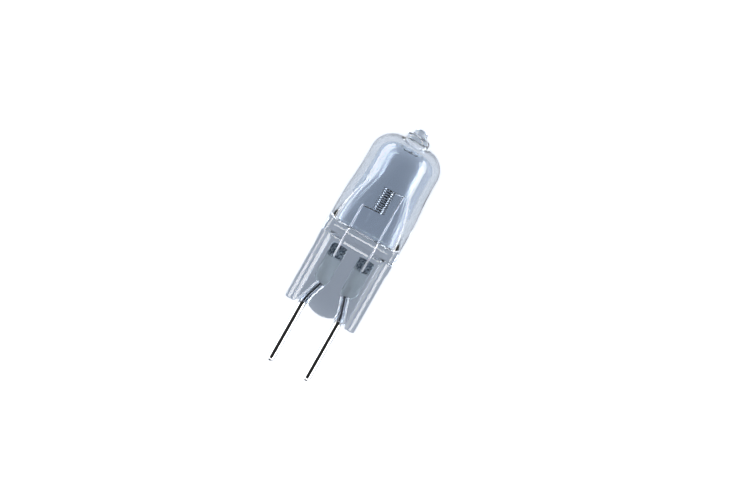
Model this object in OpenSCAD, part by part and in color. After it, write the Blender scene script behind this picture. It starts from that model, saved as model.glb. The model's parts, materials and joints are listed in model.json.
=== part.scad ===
// Low-voltage halogen capsule lamp with two pins, lying as it comes to rest.
// The lamp is built upright, with X across its broad face, Y through its depth
// and Z along its axis. Z = 0 is the seating plane at the foot of the pinch.

/* [Pins] */
// Distance between the two pins
pin_pitch = 6.35; // [6.0:0.05:6.7]
// Diameter of a pin
pin_d = 1.25; // [1.0:0.05:1.35]
// Length of a pin's straight shank below the seating plane
pin_shank = 9.15; // [7.5:0.05:11]
// Length of the tapered nose below the shank
pin_nose = 0.9; // [0.5:0.05:1.2]
// Diameter of the flat end of the nose
pin_end_d = 0.5; // [0.3:0.05:0.7]
// Angle by which a pin leans inwards inside the pinch
pin_lean = 18; // [12:1:22]
// Radius of the bend between the shank and the leaning part
pin_bend_r = 6.5; // [4:0.5:8]
// Height of a pin's inner end above the seating plane
pin_inner_h = 4.25; // [3.8:0.05:4.8]

/* [Foils] */
// Width of a foil
foil_w = 2.6; // [2.0:0.1:3.0]
// Thickness of a foil
foil_t = 0.05; // [0.03:0.01:0.1]
// Length of a foil
foil_len = 7.05; // [6:0.05:7.6]
// Length over which a foil lies on its pin
foil_lap = 0.45; // [0.3:0.05:0.7]
// Width of a foil's narrow foot
foil_foot_w = 0.9; // [0.6:0.1:1.2]
// Length over which the foot widens to the full foil
foil_taper = 1.2; // [0.8:0.1:1.8]
// Distance from a foil's foot outwards to the middle of its full width
foil_shift = 0.25; // [0:0.05:0.4]

/* [Inner leads] */
// Diameter of a lead
lead_d = 0.32; // [0.24:0.02:0.44]
// Length over which a lead lies on its foil
lead_lap = 2.0; // [1.4:0.1:2.6]
// Distance from the middle of a foil outwards to its lead
lead_shift = 0.1; // [-0.1:0.05:0.3]
// Height of a lead's end above the filament leg that it holds
lead_over = 0.25; // [0.2:0.05:0.5]

/* [Filament] */
// Outer diameter of the coil
coil_d = 2.2; // [1.6:0.05:2.3]
// Diameter of the wire
wire_d = 0.17; // [0.12:0.01:0.2]
// Whole turns of the coil
coil_turns = 10; // [8:1:12]
// Distance between neighbouring turns
coil_pitch = 0.375; // [0.26:0.005:0.4]
// Height of the coil's first turn above the floor of the bulb
coil_rise = 4.35; // [3.5:0.05:5.5]
// Distance of the coil from the lamp's axis, negative towards the short lead
coil_shift = 0.1; // [-0.3:0.05:0.3]
// Drop of the lower leg from the coil to the short lead
leg_drop = 0.25; // [0:0.05:0.4]

/* [Pinch] */
// Width of the pinch across both rails
pinch_w = 12.1; // [11.6:0.1:12.2]
// Height of the flat web above the seating plane
web_h = 11.25; // [11:0.05:12]
// Thickness of the web
web_t = 2.6; // [2.2:0.1:3.0]
// Width of a rail
rail_w = 1.9; // [1.6:0.1:2.0]
// Thickness of a rail at its crown
rail_t = 3.8; // [3.4:0.1:4.2]
// Width of the slope from the web up to a rail's crown
rail_side = 0.6; // [0.45:0.05:0.7]
// Radius of the crowns of the rails
rail_crown = 0.5; // [0.3:0.05:0.6]
// Thickness to which the rails slope down at the sides of the pinch
side_t = 2.3; // [2.0:0.1:2.6]
// Radius of the long corners at the sides of the pinch
rail_corner = 0.5; // [0.3:0.05:0.6]
// Radius of the fillet between the web and a rail
web_fillet = 0.3; // [0.2:0.05:0.4]
// Depth of the rails' feet below the seating plane
rail_foot = 0.1; // [0:0.02:0.15]
// Height of the web's lower edge beside the pins
mouth_h = 0.42; // [0.3:0.02:0.6]
// Half the width of the bulge in the web's edge between the pins
bulge_half_w = 2.1; // [1.6:0.1:2.3]
// Depth of that bulge below the seating plane
bulge_drop = 0.2; // [0.1:0.02:0.3]

/* [Bulb] */
// Diameter of the bulb
bulb_d = 11.5; // [11:0.1:11.7]
// Thickness of the bulb's wall
wall = 1.15; // [0.9:0.05:1.3]
// Extra radius of the bulb's foot, where pressing has spread it
foot_spread = 0.4; // [0.3:0.05:0.6]
// Height of the shoulder that slopes out from the web
shoulder_h = 1.85; // [1.6:0.05:2.2]
// Depth of the bulb, front to back, at the top of the shoulder
shoulder_t = 5.0; // [4.6:0.1:5.6]
// Height over which the pressed bulb grows back to its full depth
flare_h = 8.9; // [8:0.1:10]
// Height from the end of the flare to the top of the dome
straight_h = 8.2; // [7:0.1:10]
// Radius of the dome's corner
dome_corner = 3.5; // [3:0.1:4.2]
// Thickness of the glass from the shoulder's top up to the floor of the bulb
floor_rise = 0.8; // [0.6:0.05:1.1]

/* [Exhaust tip] */
// Diameter of the collar that the exhaust tube left on the dome
collar_d = 3.9; // [3.4:0.1:4.4]
// Height of the collar
collar_h = 1.1; // [0.9:0.05:1.3]
// Radius of the collar's upper edge
collar_edge = 0.4; // [0.2:0.05:0.45]
// Diameter of the melted bead on the collar
bead_d = 2.2; // [1.8:0.1:2.6]
// Height of the bead's middle above the collar
bead_rise = 0.1; // [0:0.05:0.3]
// Diameter of the closed exhaust hole at the dome's inner face
exhaust_d = 1.3; // [0.8:0.1:1.5]
// Depth of that hole
exhaust_depth = 0.75; // [0.4:0.05:0.9]

/* [Gaps in the glass] */
// Gap between the glass and a sealed foil or lead
seal_gap = 0.02; // [0.01:0.01:0.05]
// Gap between the glass and a pin
pin_gap = 0.12; // [0.06:0.02:0.16]
// Diameter of the flared mouth round a pin
mouth_d = 1.95; // [1.85:0.05:2.1]
// Height of that mouth
mouth_flare = 1.6; // [1.2:0.1:2]
// Thickness of the unfused pockets round the welds
weld_gap = 0.3; // [0.2:0.02:0.4]
// Height of the unfused pocket round a lead's weld
weld_h = 2.25; // [2.1:0.05:2.6]

/* [Hidden] */
$fn = 96;
over = 1;
left = -1;
right = 1;

pin_r = pin_d / 2;
draw = 0.01;
draw_lap = 1;
nose_drop = pin_r - pin_end_d / 2;
nose_r = (pin_nose * pin_nose + nose_drop * nose_drop) / (2 * nose_drop);
bend_end_x = pin_pitch / 2 - pin_bend_r * (1 - cos(pin_lean));
bend_end_z = pin_bend_r * sin(pin_lean);
pin_inner_len = (pin_inner_h - bend_end_z) / cos(pin_lean);
pin_inner_x = bend_end_x - (pin_inner_h - bend_end_z) * tan(pin_lean);

foil_foot_h = pin_inner_h - foil_lap;
foil_top_h = foil_foot_h + foil_len;
foil_x = pin_inner_x + foil_shift;
lead_x = foil_x + lead_shift;
lead_foot_h = foil_top_h - lead_lap;

shoulder_top_h = web_h + shoulder_h;
floor_h = shoulder_top_h + floor_rise;
flare_top_h = shoulder_top_h + flare_h;
dome_top_h = flare_top_h + straight_h;

wire_r = wire_d / 2;
wire_sides = 6;
coil_steps = 20;
coil_r = coil_d / 2 - wire_r;
coil_foot_h = floor_h + coil_rise;
coil_top_h = coil_foot_h + coil_turns * coil_pitch;
short_reach = coil_shift + lead_x;
long_reach = lead_x - coil_shift;
coil_start = 180 + acos(coil_r / short_reach);
coil_end = 360 * (coil_turns + 1) - acos(coil_r / long_reach);
short_lead_h = coil_foot_h - leg_drop;
long_lead_h = coil_top_h;

// The pressed faces stop a little outside the round bulb, so they cut it cleanly.
face_over = 0.2;
flare_r = 25;
spread_r = 30;
taper_h = 7;
shoulder_blend = 1.5;
web_blend = 0.8;
floor_blend = 0.7;
face_out = bulb_d / 2 + face_over;
face_growth = (face_out - shoulder_t / 2) / flare_h;
bulb_r = bulb_d / 2;
foot_r = bulb_r + foot_spread;
foot_top_h = flare_top_h - flare_h / 2;

// The lamp rests on its two pin noses and on the flare of its bulb. Both are arcs in the
// plane of depth and height, and the table is the line that touches both.
flare_setback = flare_r * tan(atan(face_growth) / 2);
flare_mid = [flare_top_h + flare_setback, face_out - flare_r];
nose_mid = [-pin_shank, pin_r - nose_r];
between = flare_mid - nose_mid;
rest_tilt = atan2(between[1], between[0]) + asin((flare_r - nose_r) / norm(between));
rest_h = nose_r - nose_mid[0] * sin(rest_tilt) + nose_mid[1] * cos(rest_tilt);
bead_mid_h = dome_top_h + collar_h + bead_rise;
pin_reach = -(pin_shank + pin_nose) * cos(rest_tilt) - pin_end_d / 2 * sin(rest_tilt);
bead_reach = bead_mid_h * cos(rest_tilt) + bead_d / 2;

// Lays the upright lamp on the table, broad face up, with its tip towards +X.
module laid() {
    translate([-(pin_reach + bead_reach) / 2, 0, rest_h])
        rotate([0, 90 - rest_tilt, 0]) rotate([0, 0, -90]) children();
}

module on_side(side) {
    mirror([side < 0 ? 1 : 0, 0, 0]) children();
}

function unit(v) = v / norm(v);
function corner_angle(a, b, c) = acos(unit(a - b) * unit(c - b));
function setback(a, b, c, r) = r / tan(corner_angle(a, b, c) / 2);
function blend_start(a, b, c, r) = b + unit(a - b) * setback(a, b, c, r);
function blend_end(a, b, c, r) = b + unit(c - b) * setback(a, b, c, r);
function blend_mid(a, b, c, r) =
    b + unit(unit(a - b) + unit(c - b)) * r / sin(corner_angle(a, b, c) / 2);
function turns_left(a, b, c) = cross(b - a, c - b) > 0;

// An outline, given anticlockwise, whose corners are blended with true arcs.
module blended(points, radii) {
    n = len(points);
    difference() {
        union() {
            polygon([for (i = [0:n - 1])
                let (a = points[(i + n - 1) % n], b = points[i], c = points[(i + 1) % n], r = radii[i])
                each r == 0 ? [b] : [blend_start(a, b, c, r), blend_end(a, b, c, r)]]);
            for (i = [0:n - 1])
                blend_sliver(points[(i + n - 1) % n], points[i], points[(i + 1) % n], radii[i], true);
        }
        for (i = [0:n - 1])
            blend_sliver(points[(i + n - 1) % n], points[i], points[(i + 1) % n], radii[i], false);
    }
}

// The sliver between a corner's chord and its arc.
module blend_sliver(a, b, c, r, convex) {
    if (r > 0 && turns_left(a, b, c) == convex)
        intersection() {
            polygon([blend_start(a, b, c, r), b, blend_end(a, b, c, r)]);
            translate(blend_mid(a, b, c, r)) circle(r);
        }
}

// Half outline of the bulb seen from the front, inset for the cavity.
module front_half(inset, foot_h, foot_corner) {
    blended(
        [[0, foot_h], [foot_r - inset, foot_h], [foot_r - inset, foot_top_h],
            [bulb_r - inset, foot_top_h + taper_h], [bulb_r - inset, dome_top_h - inset],
            [0, dome_top_h - inset]],
        [0, foot_corner, spread_r, spread_r, dome_corner - inset, 0]);
}

// The space between two pressed faces, from the outline of the front one, drawn upwards
// in the plane of depth and height.
module between_faces(points, radii) {
    last = len(points) - 1;
    rotate([90, 0, 90]) linear_extrude(2 * foot_r + over, center = true)
        blended(
            concat(points, [for (i = [last:-1:0]) [-points[i][0], points[i][1]]]),
            concat(radii, [for (i = [last:-1:0]) radii[i]]));
}

// The bulb's pressed faces go out over the shoulder and up the flare.
module blown_bulb() {
    web_y = web_t / 2 - face_over;
    intersection() {
        rotate_extrude() front_half(0, web_h - over, 0);
        between_faces(
            [[web_y, web_h - over], [web_y, web_h], [shoulder_t / 2, shoulder_top_h],
                [face_out, flare_top_h], [face_out, dome_top_h + over]],
            [0, web_blend, shoulder_blend, flare_r, 0]);
    }
}

// The cavity's pressed faces lie one wall further in.
module cavity() {
    floor_y = shoulder_t / 2 + floor_rise * face_growth - wall;
    intersection() {
        rotate_extrude() front_half(wall, floor_h, floor_blend);
        between_faces(
            [[floor_y, floor_h], [face_out - wall, flare_top_h], [face_out - wall, dome_top_h + over]],
            [floor_blend, flare_r, 0]);
    }
    translate([0, 0, dome_top_h - wall - seal_gap])
        cylinder(h = exhaust_depth + seal_gap, d1 = exhaust_d, d2 = exhaust_d / 2);
}

// Collar and melted bead where the exhaust tube was closed.
module exhaust_tip() {
    collar_r = collar_d / 2;
    rotate_extrude() {
        blended(
            [[0, dome_top_h - wall / 2], [collar_r, dome_top_h - wall / 2],
                [collar_r, dome_top_h + collar_h], [0, dome_top_h + collar_h]],
            [0, 0, collar_edge, 0]);
        intersection() {
            translate([0, bead_mid_h]) circle(d = bead_d);
            translate([0, dome_top_h]) square([bead_d, collar_h + bead_rise + bead_d]);
        }
    }
}

// Section of the pinch: a flat web between two thicker rails, which slope down to its sides.
module pinch_section() {
    w = pinch_w / 2;
    i = w - rail_w;
    c = i + rail_side;
    s = side_t / 2;
    r = rail_t / 2;
    t = web_t / 2;
    corners = [rail_corner, rail_corner, rail_crown, web_fillet, web_fillet, rail_crown];
    blended(
        [[w, -s], [w, s], [c, r], [i, t], [-i, t], [-c, r],
            [-w, s], [-w, -s], [-c, -r], [-i, -t], [i, -t], [c, -r]],
        concat(corners, corners));
}

// Front outline of the pinch, with the rails' feet and the bulge between the pins.
module pinch_outline() {
    w = pinch_w / 2;
    i = w - rail_w;
    step = mouth_h / 2;
    bulge_h = bulge_drop + mouth_h;
    bulge_r = (bulge_half_w * bulge_half_w + bulge_h * bulge_h) / (2 * bulge_h);
    blended(
        [[-w, -rail_foot], [-i, -rail_foot], [step - i, mouth_h], [i - step, mouth_h],
            [i, -rail_foot], [w, -rail_foot], [w, floor_h], [-w, floor_h]],
        [mouth_h, step, step, step, step, mouth_h, 0, 0]);
    intersection() {
        translate([0, bulge_r - bulge_drop]) circle(bulge_r);
        translate([-bulge_half_w, -bulge_drop]) square([2 * bulge_half_w, bulge_h + over]);
    }
}

module pinch() {
    intersection() {
        translate([0, 0, -over]) linear_extrude(shoulder_top_h + floor_rise / 2 + over) pinch_section();
        rotate([90, 0, 0]) linear_extrude(rail_t + over, center = true) pinch_outline();
    }
}

// A round bar along a pin's route from the seating plane to its inner end. Each stretch
// is drawn a little thinner than the one before it and starts inside that one.
module pin_route(r) {
    translate([pin_pitch / 2 - pin_bend_r, 0, 0]) rotate([90, 0, 0]) rotate([0, 0, -draw_lap])
        rotate_extrude(angle = pin_lean + draw_lap) translate([pin_bend_r, 0]) circle(r - draw);
    translate([bend_end_x, 0, bend_end_z]) rotate([0, -pin_lean, 0])
        translate([0, 0, -draw]) cylinder(h = pin_inner_len + draw, r = r - 2 * draw);
}

// The glass stands a little off the pin, and opens out at the mouth.
module pin_pocket() {
    bore_r = pin_r + pin_gap;
    pin_route(bore_r);
    translate([pin_pitch / 2, 0, 0]) rotate_extrude()
        polygon([[0, -over], [mouth_d / 2, -over], [mouth_d / 2, mouth_h],
            [pin_r, mouth_h + mouth_flare], [0, mouth_h + mouth_flare]]);
}

// Outline of a foil, grown all round for its pocket.
module foil_outline(grow) {
    foot = foil_foot_w / 2 + grow;
    half = foil_w / 2 + grow;
    polygon([[pin_inner_x - foot, foil_foot_h - grow], [pin_inner_x + foot, foil_foot_h - grow],
        [foil_x + half, foil_foot_h + foil_taper], [foil_x + half, foil_top_h + grow],
        [foil_x - half, foil_top_h + grow], [foil_x - half, foil_foot_h + foil_taper]]);
}

// A flat piece of the outline below it, from y = back to y = back + thick.
module upright(thick, back) {
    translate([0, back + thick, 0]) rotate([90, 0, 0]) linear_extrude(thick) children();
}

// The glass doesn't wet the foil round its two welds, which leaves thin pockets.
module foil_pocket(round_foot) {
    grow = weld_gap / 2;
    half = foil_w / 2 + seal_gap;
    upright(foil_t + 2 * seal_gap, -seal_gap) foil_outline(seal_gap);
    upright(weld_gap, -grow) intersection() {
        foil_outline(grow);
        translate([foil_x - foil_w, 0]) square([2 * foil_w, foil_foot_h + foil_taper]);
    }
    upright(weld_gap, -grow) intersection() {
        translate([foil_x - half, foil_top_h - weld_h]) square([2 * half, weld_h + seal_gap]);
        if (round_foot)
            union() {
                translate([foil_x, foil_top_h - weld_h + half]) circle(half);
                translate([foil_x - half, foil_top_h - weld_h + half]) square([2 * half, weld_h]);
            }
    }
}

module lead_pocket() {
    translate([lead_x, 0, lead_foot_h - seal_gap])
        cylinder(h = floor_h - lead_foot_h + over, d = lead_d + 2 * seal_gap);
}

// Blown bulb, pressed shoulder, pinch and exhaust tip, all one piece of glass.
module glass_envelope() {
    color([0.72, 0.80, 0.88, 0.35]) laid() difference() {
        union() {
            blown_bulb();
            exhaust_tip();
            pinch();
        }
        cavity();
        for (side = [left, right]) on_side(side) {
            pin_pocket();
            foil_pocket(side == right);
            lead_pocket();
        }
    }
}

// The wire's path: out of the short lead, round the coil and into the long lead.
function coil_point(angle) =
    [coil_shift + coil_r * cos(angle), coil_r * sin(angle),
        coil_foot_h + coil_pitch * (coil_turns * (angle - coil_start) / (coil_end - coil_start))];
function wire_path() =
    let (steps = ceil((coil_end - coil_start) / 360 * coil_steps))
    [[-lead_x, 0, short_lead_h],
        for (k = [0:steps]) coil_point(coil_start + (coil_end - coil_start) * k / steps),
        [lead_x, 0, long_lead_h]];
function path_direction(path, k) =
    unit(path[min(k + 1, len(path) - 1)] - path[max(k - 1, 0)]);
function wire_ring(path, k) =
    let (along = path_direction(path, k), across = unit(cross(along, [0, 0, 1])),
        up = cross(across, along))
    [for (s = [0:wire_sides - 1])
        path[k] + wire_r * (cos(360 * s / wire_sides) * across + sin(360 * s / wire_sides) * up)];

module filament() {
    path = wire_path();
    rings = len(path);
    last = (rings - 1) * wire_sides;
    color([0.45, 0.45, 0.47]) laid() polyhedron(
        points = [for (k = [0:rings - 1]) each wire_ring(path, k)],
        faces = [
            [for (s = [0:wire_sides - 1]) s],
            for (k = [0:rings - 2], s = [0:wire_sides - 1])
                let (n = (s + 1) % wire_sides, low = k * wire_sides, high = low + wire_sides)
                each [[low + s, high + s, high + n], [low + s, high + n, low + n]],
            [for (s = [0:wire_sides - 1]) last + wire_sides - 1 - s]]);
}

// An inner lead, flattened where it lies on its foil and drilled for the filament's leg.
// The leg comes in along the line that touches the coil, reach away, and drops on its way.
module lead(leg_h, reach, drop) {
    leg_turn = 180 + asin(coil_r / reach);
    leg_slope = atan(drop / sqrt(reach * reach - coil_r * coil_r));
    difference() {
        translate([lead_x, 0, lead_foot_h]) cylinder(h = leg_h + lead_over - lead_foot_h, d = lead_d);
        translate([lead_x - lead_d, 0, lead_foot_h - over])
            cube([2 * lead_d, lead_d, lead_lap + seal_gap + over]);
        translate([lead_x, 0, leg_h]) rotate([0, 0, leg_turn]) rotate([0, 90 - leg_slope, 0])
            translate([0, 0, -2 * seal_gap]) cylinder(h = lead_d, r = wire_r + seal_gap);
    }
}

module lead_left() {
    color([0.75, 0.74, 0.73]) laid() on_side(left) lead(short_lead_h, short_reach, leg_drop);
}

module lead_right() {
    color([0.75, 0.74, 0.73]) laid() on_side(right) lead(long_lead_h, long_reach, 0);
}

module foil() {
    upright(foil_t, 0) foil_outline(0);
}

module foil_left() {
    color([0.55, 0.58, 0.58]) laid() on_side(left) foil();
}

module foil_right() {
    color([0.55, 0.58, 0.58]) laid() on_side(right) foil();
}

// A contact pin: rounded nose, straight shank, bend, and a flat where the foil is welded on.
module pin() {
    translate([pin_pitch / 2, 0, 0]) rotate_extrude() {
        translate([0, -pin_shank]) square([pin_r, pin_shank]);
        intersection() {
            translate([pin_r - nose_r, -pin_shank]) circle(nose_r);
            translate([0, -pin_shank - pin_nose]) square([pin_r, pin_nose]);
        }
    }
    difference() {
        pin_route(pin_r);
        translate([pin_inner_x - pin_d, 0, foil_foot_h - seal_gap])
            cube([2 * pin_d, pin_d, foil_lap + pin_d]);
    }
}

module pin_left() {
    color([0.78, 0.78, 0.80]) laid() on_side(left) pin();
}

module pin_right() {
    color([0.78, 0.78, 0.80]) laid() on_side(right) pin();
}

glass_envelope();
filament();
lead_left();
lead_right();
foil_left();
foil_right();
pin_left();
pin_right();
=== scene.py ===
"""Finished looks of a two-pin halogen capsule bulb that lies on a table.

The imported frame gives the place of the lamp, its pins and its box. Every new piece is a surface
worked out with numpy in the lamp's own frame, with x across the broad face, y through the depth
(the side that faces up is negative) and z along the axis from the seating plane to the tip, and
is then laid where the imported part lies. All lengths are in metres.
"""

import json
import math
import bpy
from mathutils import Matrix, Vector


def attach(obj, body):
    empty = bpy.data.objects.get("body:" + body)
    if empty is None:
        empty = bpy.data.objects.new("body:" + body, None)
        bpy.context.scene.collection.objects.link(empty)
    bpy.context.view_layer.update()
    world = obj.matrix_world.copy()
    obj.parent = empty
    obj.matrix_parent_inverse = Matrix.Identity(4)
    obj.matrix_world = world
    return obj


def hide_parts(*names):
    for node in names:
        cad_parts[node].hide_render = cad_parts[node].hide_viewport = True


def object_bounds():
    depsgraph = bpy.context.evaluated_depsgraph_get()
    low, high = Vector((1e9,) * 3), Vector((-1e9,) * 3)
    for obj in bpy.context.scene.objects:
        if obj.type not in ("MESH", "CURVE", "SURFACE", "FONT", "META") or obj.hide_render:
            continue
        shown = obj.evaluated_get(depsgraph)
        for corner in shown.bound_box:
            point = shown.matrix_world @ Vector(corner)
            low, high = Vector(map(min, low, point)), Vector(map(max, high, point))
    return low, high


bl_info = {
    "name": "Halogen capsule bulb",
    "version": (1, 0, 0),
    "blender": (4, 5, 0),
    "location": "3D View > Sidebar > Capsule bulb",
    "description": "Builds the looks of a two-pin halogen capsule bulb round its packed frame",
    "category": "Object",
}

import bmesh
import bpy
import numpy as np
from mathutils import Matrix

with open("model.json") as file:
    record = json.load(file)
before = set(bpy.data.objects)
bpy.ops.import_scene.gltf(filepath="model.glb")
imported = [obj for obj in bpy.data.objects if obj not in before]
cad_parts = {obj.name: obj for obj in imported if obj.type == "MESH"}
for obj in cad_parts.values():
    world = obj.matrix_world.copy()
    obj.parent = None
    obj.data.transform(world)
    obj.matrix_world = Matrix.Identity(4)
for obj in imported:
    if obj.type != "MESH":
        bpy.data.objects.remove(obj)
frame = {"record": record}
CAD_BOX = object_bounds()

MM = 0.001
PHOTO_W = 730
PHOTO_SCALE = 6.5
HALVINGS = 34
FLAT_SHARE = 0.62
MERGE_DISTANCE = 1e-8
NOISE_LOW = 0.3
NOISE_HIGH = 0.7
SQUARE = 9
ROUND = 2
SIDEWAYS = np.array([[1.0, 0.0, 0.0]])
INWARDS = np.array([[0.0, 1.0, 0.0]])


def unit(vector):
    """The vector, or each vector of an array, at length 1."""
    return vector / np.linalg.norm(vector, axis=-1, keepdims=True)


# The lamp's own frame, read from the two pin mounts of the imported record.
MOUNTS = {mount["name"]: mount for mount in frame["record"]["mounts"]}
PIN_LEFT_AT = np.array(MOUNTS["pin_left"]["pos_m"])
PIN_RIGHT_AT = np.array(MOUNTS["pin_right"]["pos_m"])
PIN_SIZES = MOUNTS["pin_left"]["dims"]
ALONG = unit(-np.array(MOUNTS["pin_left"]["axis"]))
ACROSS = unit(PIN_RIGHT_AT - PIN_LEFT_AT)
DEPTH = np.cross(ALONG, ACROSS)
SEAT = (PIN_LEFT_AT + PIN_RIGHT_AT + ALONG * PIN_SIZES["length_mm"] * MM) / 2


def length(name, description, millimetres):
    """A length that a user can change, given here in millimetres."""
    return bpy.props.FloatProperty(
        name=name, description=description, default=millimetres * MM, unit="LENGTH", precision=5)


def angle(name, description, degrees):
    """An angle that a user can change, given here in degrees."""
    return bpy.props.FloatProperty(
        name=name, description=description, default=math.radians(degrees), subtype="ANGLE")


def share(name, description, value, top=1.0):
    """A plain number that a user can change."""
    return bpy.props.FloatProperty(
        name=name, description=description, default=value, min=0.0, max=top)


def colour(name, description, value):
    """A colour that a user can change."""
    return bpy.props.FloatVectorProperty(
        name=name, description=description, default=value, size=3, subtype="COLOR", min=0.0, max=1.0)


class PinSizes(bpy.types.PropertyGroup):
    """Sizes of the two contact pins."""

    pitch: length("Pitch", "Distance between the two pins", np.linalg.norm(PIN_RIGHT_AT - PIN_LEFT_AT) / MM)
    radius: length("Radius", "Radius of a pin", PIN_SIZES["r_mm"])
    shank: length("Shank", "Length of the straight shank below the seating plane", PIN_SIZES["length_mm"])
    nose: length("Nose", "Length of the tapered nose below the shank", 0.9)
    end_radius: length("End radius", "Radius of the flat end of the nose", 0.25)
    lean: angle("Lean", "Angle by which a pin leans inwards inside the pinch", 18)
    bend: length("Bend", "Radius of the bend between the shank and the leaning part", 6.5)
    inner_h: length("Inner end", "Height of a pin's inner end above the seating plane", 4.25)
    draw: length("Draw", "How much thinner a pin is at its inner end", 0.02)


class SealSizes(bpy.types.PropertyGroup):
    """Sizes of the sealed foils and of the inner leads."""

    foil_w: length("Foil width", "Width of a foil", 2.6)
    foil_t: length("Foil thickness", "Thickness of a foil in its middle", 0.05)
    foil_len: length("Foil length", "Length of a foil", 7.05)
    foil_lap: length("Foil lap", "Length over which a foil lies on its pin", 0.45)
    foil_foot_w: length("Foot width", "Width of a foil's narrow foot", 0.9)
    foil_taper: length("Foot taper", "Length over which the foot widens to the full foil", 1.2)
    foil_shift: length("Foil shift", "Distance from a foil's foot outwards to its middle", 0.25)
    lead_r: length("Lead radius", "Radius of an inner lead", 0.16)
    lead_lap: length("Lead lap", "Length over which a lead lies on its foil", 2.0)
    lead_shift: length("Lead shift", "Distance from a foil's middle outwards to its lead", 0.1)
    lead_over: length("Lead end", "Height of a lead's end above the filament leg", 0.25)
    weld_h: length("Weld pocket height", "Height of the unfused pocket round a lead's weld", 2.25)
    weld_gap: length("Weld pocket thickness", "Thickness of the unfused pockets", 0.24)


class CoilSizes(bpy.types.PropertyGroup):
    """Sizes of the filament."""

    outer_r: length("Coil radius", "Outer radius of the coil", 1.1)
    wire_r: length("Wire radius", "Radius of the wire", 0.115)
    turns: bpy.props.IntProperty(name="Turns", description="Whole turns of the coil", default=10, min=4)
    pitch: length("Pitch", "Distance between neighbouring turns", 0.375)
    foot_h: length("First turn", "Height of the first turn above the seating plane", 18.25)
    shift: length("Shift", "Distance of the coil from the axis, towards the long lead", 0.1)
    lean: angle("Lean", "Angle by which the coil's turns tip towards its far side", 5.3)
    leg_drop: length("Leg drop", "Drop of the lower leg from the coil to the short lead", 0.25)


class GlassSizes(bpy.types.PropertyGroup):
    """Sizes of the blown and pressed envelope."""

    pinch_w: length("Pinch width", "Width of the pinch across both rails", 12.1)
    web_t: length("Web thickness", "Thickness of the flat web", 2.6)
    web_h: length("Web height", "Height of the flat web above the seating plane", 11.0)
    rail_w: length("Rail width", "Width of a rail", 1.8)
    rail_side: length("Rail slope", "Width of the slope from the web up to a rail", 0.74)
    rail_t: length("Rail thickness", "Thickness of a rail", 3.53)
    side_t: length("Side thickness", "Thickness to which the rails slope down at the pinch's sides", 2.03)
    rail_crown: length("Rail crown", "Radius of the rails' crowns", 0.15)
    rail_corner: length("Rail corner", "Radius of the long corners of the pinch's sides", 0.55)
    web_fillet: length("Web fillet", "Radius between the web and the rails", 0.07)
    rail_foot: length("Rail foot", "Depth of the rails' feet below the seating plane", 0.1)
    foot_edge: length("Foot edge", "Radius of the edges of the pinch's foot", 0.25)
    mouth_h: length("Web edge", "Height of the web's lower edge beside the pins", 0.42)
    bulge_half_w: length("Bulge half width", "Half the width of the bulge between the pins", 2.1)
    bulge_drop: length("Bulge drop", "Depth of that bulge below the seating plane", 0.2)
    bulb_r: length("Bulb radius", "Radius of the bulb", 5.75)
    wall: length("Wall", "Thickness of the bulb's wall", 1.15)
    foot_spread: length("Foot spread", "Extra radius of the bulb's pressed foot", 0.4)
    edge_half_w: length("Edge half width", "Half the straight part of the web's upper edge", 2.05)
    edge_lift: length("Edge lift", "Height by which that edge lifts beside its straight part", 0.3)
    shoulder_h: length("Shoulder height", "Height of the shoulder that slopes out from the web", 2.1)
    shoulder_t: length("Shoulder depth", "Depth of the bulb at the top of the shoulder", 5.0)
    flare_h: length("Flare height", "Height over which the bulb grows to its full depth", 8.9)
    flare_grow: length("Flare growth", "Growth of each pressed face over the flare", 3.45)
    dome_h: length("Dome height", "Height of the dome above the seating plane", 30.2)
    dome_corner: length("Dome corner", "Radius of the dome's corner", 3.5)
    floor_h: length("Floor height", "Height of the floor of the cavity above the seating plane", 13.9)
    floor_corner: length("Floor corner", "Radius of the edge of that floor", 0.7)
    crease: length("Crease", "Radius between a pressed face and the round bulb", 0.9)
    collar_r: length("Collar radius", "Radius of the collar that the exhaust tube left", 1.9)
    collar_h: length("Collar height", "Height of that collar", 1.1)
    bead_r: length("Bead radius", "Radius of the melted bead on the collar", 1.12)
    bead_rise: length("Bead rise", "Height of the bead's middle above the collar", -0.02)
    lump: length("Lumps", "Height of the lumps of the collar's melted side", 0.06)
    dimple_r: length("Dimple radius", "Radius of the closed exhaust hole in the dome", 0.65)
    dimple_h: length("Dimple depth", "Depth of that hole", 0.75)
    rim_r: length("Rim radius", "Radius of the lumpy rim round that hole", 1.0)
    rim_w: length("Rim width", "Width of the rim's rounded ridge", 0.28)
    rim_drop: length("Rim drop", "Depth to which the rim hangs into the bulb", 0.55)
    pin_gap: length("Pin gap", "Gap between the glass and a pin", 0.12)
    mouth_r: length("Mouth radius", "Radius of the flared mouth round a pin", 0.975)
    mouth_flare: length("Mouth height", "Height of that mouth", 1.6)


class Finishes(bpy.types.PropertyGroup):
    """Colours and gloss of the materials."""

    glass_tint: colour("Glass tint", "Colour that each pass through the glass takes on", (0.80, 0.865, 0.945))
    glass_ior: share("Glass index", "Refractive index of the glass", 1.46, 3.0)
    pin_colour: colour("Pin colour", "Bare metal of the pins", (0.86, 0.86, 0.87))
    scale_colour: colour("Scale colour", "Dark scale on the pins inside the glass", (0.22, 0.22, 0.24))
    # The weld colour is partly heat tint and partly painted shade for the dark lines of the unfused pockets
    # round the welds.
    weld_tint_and_shade: colour("Weld colour", "Dark stains on the foils round their welds", (0.10, 0.12, 0.15))
    lead_colour: colour("Lead colour", "Pale metal of the inner leads", (0.76, 0.74, 0.76))
    foil_colour: colour("Foil colour", "Metal of the sealed foils", (0.60, 0.66, 0.71))
    coil_colour: colour("Coil colour", "Metal of the filament", (0.36, 0.36, 0.37))
    floor_colour: colour("Floor colour", "Pale floor", (0.80, 0.80, 0.80))
    floor_glow: colour("Floor glow", "Part of the floor's white that is its own", (0.32, 0.345, 0.39))
    floor_white: share("Floor white", "Strength of that glow for the camera", 2.2, 4.0)


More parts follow.
